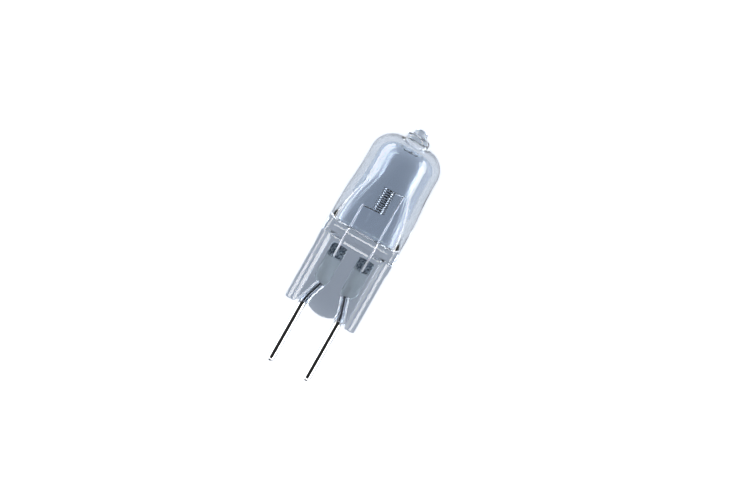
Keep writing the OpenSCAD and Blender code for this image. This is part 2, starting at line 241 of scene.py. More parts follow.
class StudioSettings(bpy.types.PropertyGroup):
    """The camera, the floor and the light."""

    camera_away: length("Camera distance", "Distance of the camera from the lamp", 600)
    frame_w: length("Frame width", "Width that the frame shows at the lamp", PHOTO_W / PHOTO_SCALE)
    aim_across: length("Aim across", "Point at the frame's middle, across the lamp", 0.77)
    aim_along: length("Aim along", "Point at the frame's middle, along the lamp", 12.89)
    roll: angle("Roll", "Angle by which the lamp leans to the right in the frame", 29.5)
    floor_r: length("Floor radius", "Radius of the round floor", 3000)
    wall_level: share("Wall level", "Brightness of the walls round the table", 0.4, 4.0)
    end_level: share("End level", "Brightness of the walls beyond the lamp's ends", 0.04, 4.0)
    ceiling_level: share("Ceiling level", "Brightness of the dark ceiling", 0.03, 4.0)
    ceiling_angle: angle("Ceiling angle", "Angle from straight above to the ceiling's edge", 46)
    soft_level: share("Soft lamp level", "Brightness of the soft lamp that lights the floor", 6.8, 100.0)
    soft_away: length("Soft lamp distance", "Distance of the soft lamp from the lamp", 900)
    soft_w: length("Soft lamp width", "Width of the square soft lamp", 400)
    strip_away: length("Strip distance", "Distance of a strip lamp from the lamp", 500)
    strip_len: length("Strip length", "Length of a strip lamp", 1100)
    strip_level: share("Strip level", "Brightness of the strip lamps", 11.0, 100.0)
    left_rise: angle("Left strip height", "Angle of the left strip lamp above the table", 11.5)
    left_w: length("Left strip width", "Width of the left strip lamp", 132)
    right_rise: angle("Right strip height", "Angle of the right strip lamp above the table", 24)
    right_w: length("Right strip width", "Width of the right strip lamp", 140)
    low_rise: angle("Low strip height", "Angle of the paler strip lamp below the right one", 7.8)
    low_w: length("Low strip width", "Width of that paler strip lamp", 130)
    low_share: share("Low strip share", "Its brightness as a share of the other strip lamps", 0.2)
    high_rise: angle("High strip height", "Angle of the paler strip lamp above the left one", 25.5)
    high_w: length("High strip width", "Width of that paler strip lamp", 112)
    high_share: share("High strip share", "Its brightness as a share of the other strip lamps", 0.22)
    end_rise: angle("End strip height", "Angle of the strip lamp beyond the pins above the table", 38)
    end_w: length("End strip width", "Width of the strip lamp beyond the pins", 70)
    end_len: length("End strip length", "Length of the strip lamp beyond the pins", 160)


def to_row(points):
    """Points of the lamp's own frame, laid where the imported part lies."""
    return SEAT + points @ np.array([ACROSS, DEPTH, ALONG])


def ease(value):
    """A smooth step from 0 to 1: three squares less two cubes of the value."""
    held = np.clip(value, 0, 1)
    return held * held * (3 - 2 * held)


def ramp(value, width):
    """A smooth ramp: half of the value plus the root of its square and the width's square."""
    return (value + np.sqrt(value * value + width * width)) / 2


def onward(start, end, count):
    """Even steps from a start, which is left out, to an end."""
    return np.linspace(start, end, count)[1:]


def both(a, b, radius):
    """Inside two bodies at once, with a round edge: within the radius of both faces the depth is
    the radius less the distance from the edge's centre, and elsewhere it is the smaller one."""
    corner = radius - np.hypot(np.maximum(radius - a, 0), np.maximum(radius - b, 0))
    return np.where((a < radius) & (b < radius), corner, np.minimum(a, b))


def either(a, b, radius):
    """Inside one of two bodies, with a round fillet where they meet."""
    return -both(-a, -b, radius)


def leave(inside, start, direction, reach):
    """Where rays from inside a body leave it. The stretch between a point inside and a point
    outside is halved again and again, for all rays at once."""
    near = np.zeros(direction.shape[:-1])
    far = np.full(direction.shape[:-1], float(reach))
    for _ in range(HALVINGS):
        middle = (near + far) / 2
        held = inside(start + direction * middle[..., None]) > 0
        near = np.where(held, middle, near)
        far = np.where(held, far, middle)
    return start + direction * near[..., None]


def ring_of_rays(quarter, flat_share):
    """Directions round a ring, a quarter at a time. Over the flat share of a quarter the start
    moves along the spine, with closer steps towards its end, and the ray stands square to it, and
    then the ray turns about the end. Gives the start along the spine from -1 to 1, the turned
    angle and the plain angle."""
    step = np.arange(quarter) / quarter
    part = np.concatenate([step, 1 - step, step, 1 - step])
    along = np.repeat([1, -1, -1, 1], quarter)
    deep = np.repeat([1, 1, -1, -1], quarter)
    fan = np.minimum(part / (1 - flat_share), 1)
    left = 1 - np.minimum((1 - part) / flat_share, 1)
    start = along * (1 - 0.3 * left - 0.7 * left * left)
    return start, fan * math.pi / 2, part * math.pi / 2, along, deep


def skin(inside, rows, quarter, spine, reach):
    """A closed skin round a body. Each row has a height, a flatness from 0 for a round section to
    1 for a flat one, and a tilt from straight down to straight up. Each ray starts on the spine
    at that height and goes out at the ring's angle and the row's tilt until it leaves the body."""
    height, flatness, tilt = (np.asarray(r, float)[:, None] for r in rows)
    start_at, flat_turn, round_turn, along, deep = ring_of_rays(quarter, FLAT_SHARE)
    turn = flatness * flat_turn + (1 - flatness) * round_turn
    start = np.stack(np.broadcast_arrays(spine * flatness * start_at, 0.0, height), -1)
    direction = np.stack(np.broadcast_arrays(
        along * np.cos(turn) * np.cos(tilt), deep * np.sin(turn) * np.cos(tilt), np.sin(tilt)), -1)
    return leave(inside, start, direction, reach)


def sleeve(centre, width, depth, columns, across=SIDEWAYS, deep=INWARDS):
    """Rings carried along a line of centres: each point is the centre plus width times the cosine
    of its turn across plus depth times the sine of its turn in the other direction."""
    turn = 2 * math.pi * np.arange(columns) / columns
    sideways = width[:, None] * np.cos(turn)
    inwards = depth[:, None] * np.sin(turn)
    return centre[:, None] + sideways[..., None] * across[:, None] + inwards[..., None] * deep[:, None]


def grid_quads(rows, columns):
    """Corners of the quads between neighbouring rows and columns, with the last column next to the
    first."""
    row = np.arange(rows - 1)[:, None] * columns
    here = np.arange(columns)[None, :]
    after = (here + 1) % columns
    above = row + columns
    return np.stack([row + here, row + after, above + after, above + here], -1).reshape(-1, 4)


def grid_uvs(rows, columns):
    """Map of such quads: turns round the ring, and rows along it as shares of the whole."""
    down = np.arange(rows - 1)[:, None] + np.zeros(columns)
    here = np.arange(columns)[None, :] + np.zeros((rows - 1, 1))
    u = np.stack([here, here + 1, here + 1, here], -1) / columns
    v = np.stack([down, down, down + 1, down + 1], -1) / (rows - 1)
    return np.stack([u, v], -1).reshape(-1, 2)


def volume_of(points, quads):
    """Signed volume inside a closed skin, as the sum of its cones from the origin."""
    a, b, c, d = (points[quads[:, k]] for k in range(4))
    return (a * (np.cross(b, c) + np.cross(c, d))).sum() / 6


def mesh_from(name, skins, voids=()):
    """An object from closed grids of points, skins facing outwards and voids facing inwards."""
    points, quads, uvs = [], [], []
    count = 0
    for grid, outward in [(g, True) for g in skins] + [(g, False) for g in voids]:
        laid = to_row(grid)
        rows, columns = laid.shape[:2]
        flat = laid.reshape(-1, 3)
        faces = grid_quads(rows, columns)
        uv = grid_uvs(rows, columns).reshape(-1, 4, 2)
        if (volume_of(flat - flat.mean(0), faces) > 0) != outward:
            faces = faces[:, ::-1]
            uv = uv[:, ::-1]
        points.append(flat)
        quads.append(faces + count)
        uvs.append(uv.reshape(-1, 2))
        count += len(flat)
    points, quads, uvs = np.concatenate(points), np.concatenate(quads), np.concatenate(uvs)
    mesh = bpy.data.meshes.new(name)
    mesh.vertices.add(len(points))
    mesh.vertices.foreach_set("co", points.astype(np.float32).ravel())
    mesh.loops.add(quads.size)
    mesh.loops.foreach_set("vertex_index", quads.astype(np.int32).ravel())
    mesh.polygons.add(len(quads))
    mesh.polygons.foreach_set("loop_start", np.arange(0, quads.size, 4, dtype=np.int32))
    mesh.uv_layers.new(name="length_map").data.foreach_set("uv", uvs.astype(np.float32).ravel())
    mesh.update(calc_edges=True)
    mesh.validate()
    merge_doubles(mesh)
    piece = bpy.data.objects.new(name, mesh)
    bpy.context.scene.collection.objects.link(piece)
    return piece


def merge_doubles(mesh):
    """Closes poles and seams: points in one place become one, and empty faces go."""
    made = bmesh.new()
    made.from_mesh(mesh)
    bmesh.ops.remove_doubles(made, verts=made.verts, dist=MERGE_DISTANCE)
    bmesh.ops.dissolve_degenerate(made, edges=made.edges, dist=MERGE_DISTANCE)
    made.to_mesh(mesh)
    made.free()


def smooth(piece, sharp_angle):
    """Smooth shading, apart from edges sharper than the angle."""
    piece.data.shade_smooth()
    piece.data.set_sharp_from_angle(angle=math.radians(sharp_angle))


def dress(piece, material, slot_name, *nodes):
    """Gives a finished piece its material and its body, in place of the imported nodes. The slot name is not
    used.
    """
    piece.data.materials.clear()
    piece.data.materials.append(material)
    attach(piece, "root")
    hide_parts(*nodes)


def carve(body, void):
    """Takes one closed object out of another and deletes it."""
    cut = body.modifiers.new("carve", "BOOLEAN")
    cut.operation = "DIFFERENCE"
    cut.solver = "EXACT"
    cut.object = void
    shown = body.evaluated_get(bpy.context.evaluated_depsgraph_get())
    carved = bpy.data.meshes.new_from_object(shown)
    body.modifiers.clear()
    body.data = carved
    bpy.data.objects.remove(void)


def depth_at(glass, x, z):
    """Half the depth of the outside at a place across and a height: the web, whose upper edge
    lifts on both sides, then the steep shoulder, then the flare, which eases off at its top."""
    lift_run, soft_edge, soft_top, soft_end = 0.8 * MM, 0.3 * MM, 0.2 * MM, 2.3 * MM
    eased = 0.7
    gentle = glass.flare_grow / glass.flare_h
    shoulder_top = glass.web_h + glass.shoulder_h
    edge_h = glass.web_h + glass.edge_lift * ease((np.abs(x) - glass.edge_half_w) / lift_run)
    steep = (glass.shoulder_t - glass.web_t) / 2 / (shoulder_top - edge_h)
    return (glass.web_t / 2 + steep * ramp(z - edge_h, soft_edge)
            + (gentle - steep) * ramp(z - shoulder_top, soft_top)
            - eased * gentle * ramp(z - shoulder_top - glass.flare_h, soft_end))


def radius_at(glass, z):
    """Radius of the bulb's front outline at a height: the spread foot eases into the bulb."""
    foot_top = glass.web_h + glass.shoulder_h + glass.flare_h / 2
    ease_h = 7 * MM
    return glass.bulb_r + glass.foot_spread * (1 - ease((z - foot_top) / ease_h))


def pressed(glass, p, inset):
    """Depth inside the two pressed faces, which are flat across: half the depth at that height,
    less the inset and the distance from the lamp's middle plane."""
    return depth_at(glass, p[..., 0], p[..., 2]) - inset - np.abs(p[..., 1])


def blown(glass, p, inset):
    """Depth inside the round bulb with its dome, moved in by the inset."""
    barrel = radius_at(glass, p[..., 2]) - inset - np.hypot(p[..., 0], p[..., 1])
    return both(barrel, glass.dome_h - inset - p[..., 2], glass.dome_corner - inset)


def pinch_foot(glass, x):
    """Height of the pinch's lower edge: the rails' feet, the web, and the bulge between the pins."""
    start, run, corner = 0.1 * MM, 0.4 * MM, 0.3 * MM
    rail = ease((x - glass.pinch_w / 2 + glass.rail_w + start) / run)
    web = glass.mouth_h - (glass.mouth_h + glass.rail_foot) * rail
    bulge_h = glass.bulge_drop + glass.mouth_h
    bulge = -glass.bulge_drop + bulge_h * (x / glass.bulge_half_w) ** 2
    return both(web, bulge, corner)


def pinched(glass, p):
    """Depth inside the pinch: a flat web between two thicker rails, with a rounded foot."""
    x, y, z = np.abs(p[..., 0]), np.abs(p[..., 1]), p[..., 2]
    side = glass.pinch_w / 2
    foot = side - glass.rail_w
    crown = foot + glass.rail_side
    rise = (glass.rail_t - glass.web_t) / 2 / glass.rail_side
    fall = (glass.rail_t - glass.side_t) / 2 / (side - crown)
    climb = (glass.web_t / 2 + rise * (x - foot) - y) / math.hypot(1, rise)
    drop = (glass.rail_t / 2 - fall * (x - crown) - y) / math.hypot(1, fall)
    rail = both(climb, drop, glass.rail_crown)
    section = either(np.minimum(glass.web_t / 2 - y, crown - x), rail, glass.web_fillet)
    section = both(section, side - x, glass.rail_corner)
    footed = both(section, z - pinch_foot(glass, x), glass.foot_edge)
    below_floor, top_corner = 0.4 * MM, 0.5 * MM
    return both(footed, glass.floor_h - below_floor - z, top_corner)


def outside(glass, p):
    """Depth inside the whole outer skin: pinch, pressed bulb, lumpy collar, and a squat bead whose
    surface keeps the sum of two cubes, of the distances from its axis and from its middle."""
    rad, z = np.hypot(p[..., 0], p[..., 1]), p[..., 2]
    lap, seam, collar_edge, melt = 1 * MM, 0.08 * MM, 0.5 * MM, 0.2 * MM
    bulb = both(blown(glass, p, 0), pressed(glass, p, 0), glass.crease)
    bulb = np.minimum(bulb, z - glass.web_h + lap)
    body = either(bulb, pinched(glass, p), seam)
    turn = np.arctan2(p[..., 1], p[..., 0])
    lumps = glass.lump * (np.sin(3 * turn + 1) + np.sin(5 * turn + z / (0.3 * MM)))
    collar_top = glass.dome_h + glass.collar_h
    collar = both(glass.collar_r + lumps - rad, collar_top - z, collar_edge)
    body = either(body, np.minimum(collar, z - glass.dome_h + glass.wall), melt)
    bead = glass.bead_r + lumps / 2 - np.cbrt(rad ** 3 + np.abs(z - collar_top - glass.bead_rise) ** 3)
    return either(body, bead, melt)


def hollow(glass, p):
    """Depth inside the cavity: the bulb one wall further in, a flat floor, and the exhaust dimple
    with the lumpy rim of melted glass round it."""
    rad, z = np.hypot(p[..., 0], p[..., 1]), p[..., 2]
    room = both(blown(glass, p, glass.wall), pressed(glass, p, glass.wall), glass.crease)
    room = both(room, z - glass.floor_h, glass.floor_corner)
    above = z - glass.dome_h + glass.wall
    turn = np.arctan2(p[..., 1], p[..., 0])
    fade, lap, dimple_edge, melt = 0.8 * MM, 1 * MM, 0.2 * MM, 0.15 * MM
    rim = np.exp(-((rad - glass.rim_r) / glass.rim_w) ** 2 - (above / fade) ** 2)
    room = room - glass.rim_drop * rim * (0.6 + 0.25 * np.sin(5 * turn) + 0.15 * np.sin(9 * turn + 1))
    cone = glass.dimple_r * (1 - above / glass.dimple_h / 2) - rad
    dimple = both(cone, glass.dimple_h - above, dimple_edge)
    return either(room, np.minimum(dimple, above + lap), melt)


def flatness_at(glass, z):
    """1 in the pinch, easing to 0 where the bulb is round."""
    ease_h = 9.5 * MM
    return 1 - ease((z - glass.floor_h) / ease_h)


def outer_skin(glass):
    """The outer skin as a grid: the foot by tilted rows, the pinch and the flare by level rows,
    and the dome, collar and bead by tilted rows again."""
    low, high = 1.7 * MM, 26 * MM
    foot = np.radians(np.linspace(-90, 0, 30))
    shoulder_low, shoulder_high = 10.4 * MM, 15 * MM
    level = np.concatenate([
        onward(low, shoulder_low, 14),
        onward(shoulder_low, shoulder_high, 42),
        onward(shoulder_high, high, 40)])
    top = np.radians(np.concatenate([onward(0, 60, 30), onward(60, 82, 56), onward(82, 90, 12)]))
    height = np.concatenate([np.full(foot.shape, low), level, np.full(top.shape, high)])
    tilt = np.concatenate([foot, np.zeros(level.shape), top])
    rows = (height, flatness_at(glass, height), tilt)
    return skin(lambda p: outside(glass, p), rows, quarter=74, spine=5.0 * MM, reach=12 * MM)


def cavity_skin(glass):
    """The wall of the cavity as a grid, with its floor and dome by tilted rows."""
    low, high = 17 * MM, 25.5 * MM
    floor = np.radians(np.linspace(-90, 0, 46))
    level = onward(low, high, 30)
    top = np.radians(np.concatenate([onward(0, 70, 36), onward(70, 90, 34)]))
    height = np.concatenate([np.full(floor.shape, low), level, np.full(top.shape, high)])
    tilt = np.concatenate([floor, np.zeros(level.shape), top])
    rows = (height, flatness_at(glass, height), tilt)
    return skin(lambda p: hollow(glass, p), rows, quarter=42, spine=4.4 * MM, reach=16 * MM)


def in_plane(x, z, y=0.0):
    """Points at given places across and along, and at a depth."""
    return np.stack(np.broadcast_arrays(x, y, z), -1)


def pin_line(pins, side, below, steps):
    """Stations along a pin's route, from below the seating plane, round the bend to the inner end.
    Gives their places, their sideways directions and their run along the route."""
    bend_run = pins.bend * pins.lean
    bend_h = pins.bend * math.sin(pins.lean)
    lean_run = (pins.inner_h - bend_h) / math.cos(pins.lean)
    run = np.concatenate([-below, onward(0, bend_run, steps), bend_run + onward(0, lean_run, 8)])
    turned = np.clip(run / pins.bend, 0, pins.lean)
    bend_x = pins.pitch / 2 - pins.bend * (1 - np.cos(turned))
    past = np.maximum(run - bend_run, 0)
    x = side * (bend_x - past * math.sin(pins.lean))
    z = np.minimum(run, 0) + pins.bend * np.sin(turned) + past * math.cos(pins.lean)
    return in_plane(x, z), in_plane(np.cos(turned), side * np.sin(turned)), run


def with_end(centre, across, radius, shares):
    """A pin's stations and more rings at the last one, whose radii are shares of its radius."""
    more = len(shares)
    centre = np.concatenate([centre, np.repeat(centre[-1:], more, 0)])
    across = np.concatenate([across, np.repeat(across[-1:], more, 0)])
    return centre, across, np.concatenate([radius, radius[-1] * np.array(shares)])


def foil_foot(pins, seals):
    """Height of a foil's foot, and the places of the pin's end and the foil's middle."""
    bend_h = pins.bend * math.sin(pins.lean)
    bend_x = pins.pitch / 2 - pins.bend * (1 - math.cos(pins.lean))
    inner_x = bend_x - (pins.inner_h - bend_h) * math.tan(pins.lean)
    return pins.inner_h - seals.foil_lap, inner_x, inner_x + seals.foil_shift


def pin_skin(pins, seals, side):
    """A contact pin as rings along its route: an arc of revolution for the nose, the shank and the
    bend, and a flat on its inner end where the foil is welded on."""
    drop = pins.radius - pins.end_radius
    arc_r = (pins.nose ** 2 + drop ** 2) / (2 * drop)
    nose_run = pins.nose * np.sin(np.linspace(math.pi / 2, 0, 14))
    below = np.concatenate([[pins.shank + pins.nose], pins.shank + nose_run, onward(pins.shank, 0, 12)])
    centre, across, run = pin_line(pins, side, below, 20)
    past_shank = np.maximum(-run - pins.shank, 0)
    radius = pins.radius - arc_r + np.sqrt(arc_r ** 2 - past_shank ** 2)
    radius = radius - pins.draw * ease(run / pins.inner_h)
    radius[0] = 0
    centre, across, radius = with_end(centre, across, radius, (0.94, 0.7, 0.0))
    rings = sleeve(centre, radius, radius, 48, across)
    on_foil = rings[..., 2] > foil_foot(pins, seals)[0]
    rings[..., 1] = np.where(on_foil, np.minimum(rings[..., 1], 0), rings[..., 1])
    return rings


def pin_void(pins, glass, side):
    """The air between a pin and the glass: a sleeve a gap wider than the pin, flared at its mouth."""
    below = np.array([1, 1, 0.5, 0]) * MM
    centre, across, run = pin_line(pins, side, below, 22)
    flare = 1 - ease((run - glass.mouth_h) / glass.mouth_flare)
    radius = pins.radius + glass.pin_gap + (glass.mouth_r - pins.radius - glass.pin_gap) * flare
    radius[0] = 0
    centre, across, radius = with_end(centre, across, radius, (0.96, 0.8, 0.0))
    return sleeve(centre, radius, radius, 40, across)


def foil_half_width(pins, seals, z):
    """Half a foil's width at a height: the narrow foot widens along straight edges."""
    foot_h = foil_foot(pins, seals)[0]
    part = np.clip((z - foot_h) / seals.foil_taper, 0, 1)
    return (seals.foil_foot_w + (seals.foil_w - seals.foil_foot_w) * part) / 2, part


def foil_skin(pins, seals, side):
    """A foil as flat oval rings: its width follows the tapered foot, and its edges are feathered."""
    foot_h, inner_x, middle_x = foil_foot(pins, seals)
    z = foot_h + seals.foil_len * np.linspace(0, 1, 60)
    half, part = foil_half_width(pins, seals, z)
    feather = 0.12 * MM
    corner = np.minimum(np.minimum(z - foot_h, foot_h + seals.foil_len - z) / feather, 1)
    half = half * np.sqrt(np.maximum(1 - (1 - corner) ** 2, 0))
    centre = in_plane(side * (inner_x + (middle_x - inner_x) * part), z, seals.foil_t / 2)
    return sleeve(centre, half, seals.foil_t / 2 * np.sqrt(corner), 40)


def weld_void(pins, seals, side, low_round):
    """The unfused pocket round a lead's weld: flat oval rings as wide as the foil, with square
    upper corners and a square or round foot."""
    foot_h, _, middle_x = foil_foot(pins, seals)
    top = foot_h + seals.foil_len
    t = np.cos(np.linspace(math.pi, 0, 40))
    z = top - seals.weld_h / 2 + seals.weld_h / 2 * t
    power = np.where(t < 0, low_round, SQUARE)
    half = (seals.foil_w / 2) * np.maximum(1 - np.abs(t) ** power, 0) ** (1 / np.minimum(power, 3))
    ripple = 1 + 0.05 * np.sin(9 * t + side) * (half > 0)
    thick = seals.weld_gap / 2 * np.maximum(1 - t ** 6, 0) ** 0.5 * ripple
    return sleeve(in_plane(side * middle_x, z), half * ripple, thick, 64)


def lead_skin(pins, seals, side, leg_h):
    """An inner lead as rings: a flat below, where it lies on its foil, and slightly rounded ends."""
    foot_h, _, middle_x = foil_foot(pins, seals)
    low = foot_h + seals.foil_len - seals.lead_lap
    high = leg_h + seals.lead_over
    end = 0.05 * MM
    z = np.concatenate([[low, low], np.linspace(low + end, high - end, 60), [high, high]])
    radius = np.full(z.shape, seals.lead_r)
    radius[[1, -2]] = seals.lead_r - end
    radius[[0, -1]] = 0
    rings = sleeve(in_plane(side * (middle_x + seals.lead_shift), z), radius, radius, 32)
    on_foil = rings[..., 2] < foot_h + seals.foil_len
    rings[..., 1] = np.where(on_foil, np.minimum(rings[..., 1], 0), rings[..., 1])
    return rings


def wire_skin(pins, seals, coil):
    """The filament: a leg from the short lead, a helix that both legs touch, and a leg into the
    long lead, with rings square to the path."""
    lead_x = foil_foot(pins, seals)[2] + seals.lead_shift
    coil_r = coil.outer_r - coil.wire_r
    begin = math.pi + math.acos(coil_r / (coil.shift + lead_x))
    end = 2 * math.pi * (coil.turns + 1) - math.acos(coil_r / (lead_x - coil.shift))
    turn = np.linspace(begin, end, 56 * coil.turns)
    rise = (turn - begin) / (end - begin) * coil.turns * coil.pitch
    far = coil_r * np.sin(turn)
    helix = np.stack([
        coil.shift + coil_r * np.cos(turn), far, coil.foot_h + rise + far * math.tan(coil.lean)], -1)
    first = np.array([-lead_x, 0, coil.foot_h - coil.leg_drop])
    last = np.array([lead_x, 0, coil.foot_h + coil.turns * coil.pitch])
    step = np.linspace(0, 1, 12)[:-1, None]
    path = np.concatenate([
        first + (helix[0] - first) * step, helix, last + (helix[-1] - last) * step[::-1]])
    along = unit(np.gradient(path, axis=0))
    across = unit(np.cross(along, [0.0, 0.0, 1.0]))
    up = np.cross(across, along)
    radius = np.full(len(path), coil.wire_r)
    radius[[0, -1]] = 0
    return sleeve(path, radius, radius, 14, across, up)


def new_material(name):
    """A new material, its node tree and its shader."""
    material = bpy.data.materials.new(name)
    material.use_nodes = True
    tree = material.node_tree
    shader = tree.nodes["Principled BSDF"]
    return material, tree, shader


def noise(tree, coordinate, scale, stretch, detail):
    """Noise on a coordinate, drawn out by a stretch."""
    where = tree.nodes.new("ShaderNodeMapping")
    where.inputs["Scale"].default_value = stretch
    tree.links.new(coordinate, where.inputs["Vector"])
    pattern = tree.nodes.new("ShaderNodeTexNoise")
    pattern.inputs["Scale"].default_value = scale
    pattern.inputs["Detail"].default_value = detail
    tree.links.new(where.outputs["Vector"], pattern.inputs["Vector"])
    return pattern.outputs["Fac"]


def stretched(tree, value, start, end, low=0.0, high=1.0):
    """A node that stretches a value between a start and an end to lie between two numbers."""
    node = tree.nodes.new("ShaderNodeMapRange")
    for name, number in (("From Min", start), ("From Max", end), ("To Min", low), ("To Max", high)):
        node.inputs[name].default_value = number
    tree.links.new(value, node.inputs["Value"])
    return node


def between(tree, pattern, low, high):
    """A noise pattern's usual range stretched to lie between two numbers."""
    return stretched(tree, pattern, NOISE_LOW, NOISE_HIGH, low, high).outputs["Result"]


def along_vector(tree, direction, vector):
    """How far a direction or a place reaches along a vector."""
    dot = tree.nodes.new("ShaderNodeVectorMath")
    dot.operation = "DOT_PRODUCT"
    dot.inputs[1].default_value = vector
    tree.links.new(direction, dot.inputs[0])
    return dot.outputs["Value"]


def combined(tree, operation, a, b):
    """The sum or the product of two values, held between 0 and 1."""
    node = tree.nodes.new("ShaderNodeMath")
    node.operation = operation
    node.use_clamp = True
    tree.links.new(a, node.inputs[0])
    tree.links.new(b, node.inputs[1])
    return node.outputs[0]


def shades(tree, value, dark, pale):
    """A colour between two, over a noise pattern's usual range."""
    node = tree.nodes.new("ShaderNodeValToRGB")
    for element, place, tint in zip(node.color_ramp.elements, (NOISE_LOW, NOISE_HIGH), (dark, pale)):
        element.position = place
        element.color = (*tint, 1)
    tree.links.new(value, node.inputs["Fac"])
    return node.outputs["Color"]


def bump(tree, shader, value, strength, distance):
    """Fine relief on a shader's normal."""
    node = tree.nodes.new("ShaderNodeBump")
    node.inputs["Strength"].default_value = strength
    node.inputs["Distance"].default_value = distance
    tree.links.new(value, node.inputs["Height"])
    tree.links.new(node.outputs["Normal"], shader.inputs["Normal"])


def scaled(tint, factor):
    """A colour times a factor, at most 1."""
    return tuple(min(1.0, c * factor) for c in tint)


def glass_material(finish):
    """Clear, faintly grey-blue glass with slow waves in its surface."""
    material, tree, shader = new_material("clear_glass")
    shader.inputs["Base Color"].default_value = (*finish.glass_tint, 1)
    shader.inputs["Transmission Weight"].default_value = 1
    shader.inputs["IOR"].default_value = finish.glass_ior
    shader.inputs["Roughness"].default_value = 0
    place = tree.nodes.new("ShaderNodeTexCoord").outputs["Object"]
    waves = noise(tree, place, 160, stretch=(1, 1.6, 1.6), detail=1)
    bump(tree, shader, waves, strength=0.12, distance=0.4 * MM)
    return material


def metal_material(name, tint, gloss, stretch, contrast, relief):
    """Bare metal whose tone, roughness and fine lines run along the piece's own map."""
    material, tree, shader = new_material(name)
    shader.inputs["Metallic"].default_value = 1
    place = tree.nodes.new("ShaderNodeTexCoord").outputs["UV"]
    lines = noise(tree, place, 1, stretch, detail=4)
    tone = shades(tree, lines, scaled(tint, 1 - contrast), scaled(tint, 1 + contrast))
    tree.links.new(tone, shader.inputs["Base Color"])
    tree.links.new(between(tree, lines, gloss * 0.7, gloss * 1.4), shader.inputs["Roughness"])
    bump(tree, shader, lines, relief, distance=0.02 * MM)
    return material


def height_part(tree, low, high):
    """How far a point's height along the lamp lies between two heights, from 0 to 1."""
    place = tree.nodes.new("ShaderNodeTexCoord").outputs["Object"]
    height, seat_h = along_vector(tree, place, ALONG), SEAT @ ALONG
    return stretched(tree, height, seat_h + low, seat_h + high).outputs["Result"]


def stain(tree, part, tint):
    """Changes the shader's base colour to another one, by a part from 0 to 1."""
    mix = tree.nodes.new("ShaderNodeMix")
    mix.data_type = "RGBA"
    base = tree.nodes["Principled BSDF"].inputs["Base Color"]
    tree.links.new(base.links[0].from_socket, mix.inputs[6])
    mix.inputs[7].default_value = (*tint, 1)
    tree.links.new(part, mix.inputs[0])
    tree.links.new(mix.outputs[2], base)


def sizes():
    """The scene's own settings: pins, seals, coil, glass, finishes and studio."""
    scene = bpy.context.scene
    return (scene.bulb_pins, scene.bulb_seals, scene.bulb_coil, scene.bulb_glass,
            scene.bulb_finishes, scene.bulb_studio)


class BULB_OT_glass_envelope(bpy.types.Operator):
    """Build the blown bulb, its pinch and its exhaust tip as one piece of glass"""

    bl_idname = "bulb.glass_envelope"
    bl_label = "Glass envelope"

    def execute(self, context):
        pins, seals, _, glass, finish, _ = sizes()
        piece = mesh_from("glass_envelope_clear", [outer_skin(glass)])
        for side in (-1, 1):
            carve(piece, mesh_from("pin_void", [pin_void(pins, glass, side)]))
        sealed = [
            cavity_skin(glass),
            weld_void(pins, seals, -1, SQUARE),
            weld_void(pins, seals, 1, ROUND)]
        inner = mesh_from("glass_voids", [], sealed)
        join(piece, inner)
        smooth(piece, 40)
        dress(piece, glass_material(finish), "clear_glass", "glass_envelope")
        return {"FINISHED"}


def join(piece, other):
    """Adds another object's mesh to a piece and deletes that object."""
    made = bmesh.new()
    made.from_mesh(piece.data)
    made.from_mesh(other.data)
    made.to_mesh(piece.data)
    made.free()
    bpy.data.objects.remove(other)


class BULB_OT_filament(bpy.types.Operator):
    """Build the coiled filament with its two legs"""

    bl_idname = "bulb.filament"
    bl_label = "Filament"

    def execute(self, context):
        pins, seals, coil, _, finish, _ = sizes()
        piece = mesh_from("filament_coil", [wire_skin(pins, seals, coil)])
        smooth(piece, 60)
        material = metal_material(
            "tungsten_wire", finish.coil_colour, gloss=0.05, stretch=(3, 300, 1), contrast=0.08, relief=0.1)
        dress(piece, material, "tungsten_wire", "filament")
        return {"FINISHED"}


class BULB_OT_leads(bpy.types.Operator):
    """Build the short and the long inner lead"""

    bl_idname = "bulb.leads"
    bl_label = "Inner leads"

    def execute(self, context):
        pins, seals, coil, _, finish, _ = sizes()
        material = metal_material(
            "lead_wire", finish.lead_colour, gloss=0.42, stretch=(9, 60, 1), contrast=0.06, relief=0.35)
        low_leg = coil.foot_h - coil.leg_drop
        high_leg = coil.foot_h + coil.turns * coil.pitch
        for name, side, leg_h in (("left", -1, low_leg), ("right", 1, high_leg)):
            piece = mesh_from(f"lead_{name}_wire", [lead_skin(pins, seals, side, leg_h)])
            smooth(piece, 35)
            dress(piece, material, "lead_wire", f"lead_{name}")
        return {"FINISHED"}


def tint_and_shade_weld(material, pins, seals, finish):
    """Dark mottled patches on the upper end of a foil, where its lead is welded on. They are partly heat tint
    on the foil and partly painted shade for the dark lines that the unfused pocket round the weld shows.
    """
    tree = material.node_tree
    top = foil_foot(pins, seals)[0] + seals.foil_len
    low, fade = top - seals.weld_h, 0.25 * MM
    zone = height_part(tree, low, low + fade)
    place = tree.nodes.new("ShaderNodeTexCoord").outputs["UV"]
    tint_and_shade_blots = between(tree, noise(tree, place, 1, stretch=(34, 16, 1), detail=2), low=-0.6, high=1.6)
    # Painted shade mixed with heat tint: the foil's top round the weld is darkened in blotches.
    stain(tree, combined(tree, "MULTIPLY", zone, tint_and_shade_blots), finish.weld_tint_and_shade)


class BULB_OT_foils(bpy.types.Operator):
    """Build the two sealed foils"""

    bl_idname = "bulb.foils"
    bl_label = "Foils"

    def execute(self, context):
        pins, seals, _, _, finish, _ = sizes()
        material = metal_material(
            "foil_strip", finish.foil_colour, gloss=0.55, stretch=(30, 1.5, 1), contrast=0.08, relief=0.3)
        tint_and_shade_weld(material, pins, seals, finish)
        for name, side in (("left", -1), ("right", 1)):
            piece = mesh_from(f"foil_{name}_strip", [foil_skin(pins, seals, side)])
            smooth(piece, 60)
            dress(piece, material, "foil_strip", f"foil_{name}")
        return {"FINISHED"}


